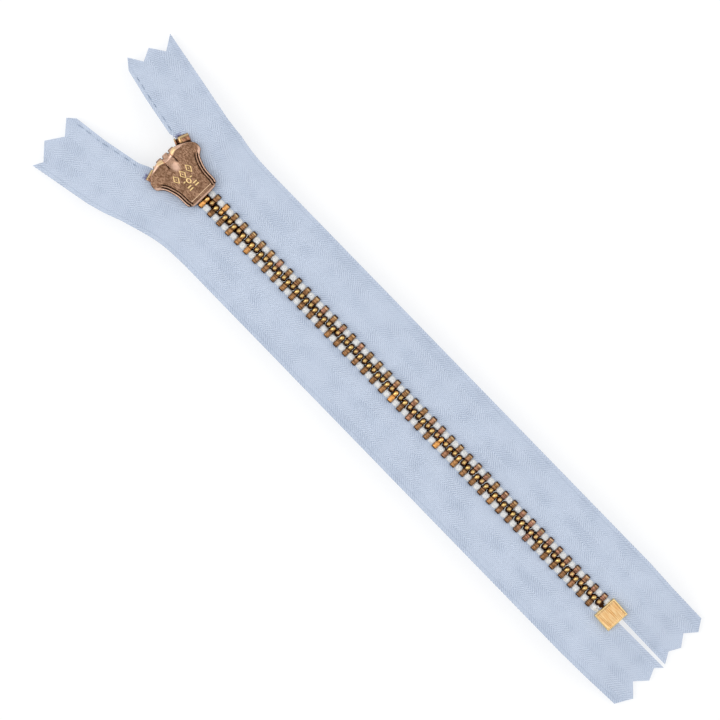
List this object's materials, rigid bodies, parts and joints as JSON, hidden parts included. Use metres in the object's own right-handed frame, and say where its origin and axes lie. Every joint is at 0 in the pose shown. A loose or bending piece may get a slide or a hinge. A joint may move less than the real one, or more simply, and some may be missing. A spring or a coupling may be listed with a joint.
{
  "type": "zipper",
  "caption": "Closed-end metal zipper with woven tapes, clamped teeth, top and bottom stops and a slider with a locking pull tab.",
  "frame": {"origin": "middle of the overall box, on the plane that the pull tab lies on; the chain's centre line is x = 0 and the middle of the tape is 4.6 mm up", "axes": "+Y along the chain from the bottom stop towards the slider, +Z out of the zipper's back, +X to the right when the slider is at the top and the back faces the viewer"},
  "size_m": [0.0434, 0.1868, 0.0071],
  "materials": {
    "tape": "woven herringbone cotton and polyester, matte",
    "teeth": "antique brass, satin, darker at the legs",
    "bottom_stop": "light brass, brushed lengthwise",
    "slider": "antique bronze with polished edges",
    "steel": "dull steel"
  },
  "bodies": {
    "root": {"bottom_stop": "bottom_stop", "left_tape_1": "tape", "left_teeth_1": "teeth", "right_tape_1": "tape", "right_teeth_1": "teeth"},
    "left_stringer_1": {"left_tape_2": "tape", "left_teeth_2": "teeth"},
    "left_stringer_2": {"left_tape_3": "tape", "left_tape_4": "tape", "left_teeth_3": "teeth", "left_teeth_4": "teeth", "left_teeth_5": "teeth", "left_teeth_6": "teeth", "left_teeth_7": "teeth"},
    "left_stringer_3": {"left_tape_5": "tape", "left_teeth_8": "teeth"},
    "left_stringer_4": {"left_tape_6": "tape", "left_top_stop": "teeth"},
    "right_stringer_1": {"right_tape_2": "tape", "right_teeth_2": "teeth"},
    "right_stringer_2": {"right_tape_3": "tape", "right_tape_4": "tape", "right_teeth_3": "teeth", "right_teeth_4": "teeth", "right_teeth_5": "teeth", "right_teeth_6": "teeth", "right_teeth_7": "teeth"},
    "right_stringer_3": {"right_tape_5": "tape", "right_teeth_8": "teeth"},
    "right_stringer_4": {"right_tape_6": "tape", "right_top_stop": "teeth"},
    "slider": {"slider_body": "slider", "pivot_pin": "steel", "lock_spring": "steel"},
    "pull_tab": {"pull_tab": "slider"}
  },
  "joints": [
    {"name": "slider_slide", "type": "slide", "parent": "root", "child": "slider", "axis": [0, -1, 0], "range_m": [0, 0.129], "deforming": ["left_tape_1", "left_tape_2", "left_tape_3", "left_tape_4", "left_tape_5", "left_tape_6", "left_teeth_1", "left_teeth_2", "left_teeth_3", "left_teeth_4", "left_teeth_5", "left_teeth_6", "left_teeth_7", "left_teeth_8", "right_tape_1", "right_tape_2", "right_tape_3", "right_tape_4", "right_tape_5", "right_tape_6", "right_teeth_1", "right_teeth_2", "right_teeth_3", "right_teeth_4", "right_teeth_5", "right_teeth_6", "right_teeth_7", "right_teeth_8", "left_top_stop", "right_top_stop"]},
    {"name": "pull_tab_swing", "type": "hinge", "parent": "slider", "child": "pull_tab", "pos_m": [0, 0.0711, 0.00095], "axis": [1, 0, 0], "range_deg": [0, 180]},
    {"name": "left_bend_1", "type": "hinge", "parent": "root", "child": "left_stringer_1", "pos_m": [-0.00155, -0.0681, 0.0046], "axis": [0, 0, 1], "range_deg": [0, 16]},
    {"name": "left_bend_2", "type": "hinge", "parent": "left_stringer_1", "child": "left_stringer_2", "pos_m": [-0.00155, -0.0592, 0.0046], "axis": [0, 0, 1], "range_deg": [-5.5, 0]},
    {"name": "left_bend_3", "type": "hinge", "parent": "left_stringer_2", "child": "left_stringer_3", "pos_m": [-0.00155, 0.06092, 0.0046], "axis": [0, 0, 1], "range_deg": [-16, 0]},
    {"name": "left_bend_4", "type": "hinge", "parent": "left_stringer_3", "child": "left_stringer_4", "pos_m": [-0.004, 0.06947, 0.0046], "axis": [0, 0, 1], "range_deg": [0, 5.5]},
    {"name": "right_bend_1", "type": "hinge", "parent": "root", "child": "right_stringer_1", "pos_m": [0.00155, -0.0681, 0.0046], "axis": [0, 0, 1], "range_deg": [-16, 0]},
    {"name": "right_bend_2", "type": "hinge", "parent": "right_stringer_1", "child": "right_stringer_2", "pos_m": [0.00155, -0.0592, 0.0046], "axis": [0, 0, 1], "range_deg": [0, 5.5]},
    {"name": "right_bend_3", "type": "hinge", "parent": "right_stringer_2", "child": "right_stringer_3", "pos_m": [0.00155, 0.06092, 0.0046], "axis": [0, 0, 1], "range_deg": [0, 16]},
    {"name": "right_bend_4", "type": "hinge", "parent": "right_stringer_3", "child": "right_stringer_4", "pos_m": [0.004, 0.06947, 0.0046], "axis": [0, 0, 1], "range_deg": [-5.5, 0]}
  ],
  "couplings": [
    {"joint": "left_bend_1", "follows": "slider_slide", "rad_per_m": 2.1646},
    {"joint": "left_bend_2", "follows": "slider_slide", "rad_per_m": -0.7441},
    {"joint": "left_bend_3", "follows": "slider_slide", "rad_per_m": -2.1646},
    {"joint": "left_bend_4", "follows": "slider_slide", "rad_per_m": 0.7441},
    {"joint": "right_bend_1", "follows": "slider_slide", "rad_per_m": -2.1646},
    {"joint": "right_bend_2", "follows": "slider_slide", "rad_per_m": 0.7441},
    {"joint": "right_bend_3", "follows": "slider_slide", "rad_per_m": 2.1646},
    {"joint": "right_bend_4", "follows": "slider_slide", "rad_per_m": -0.7441}
  ]
}
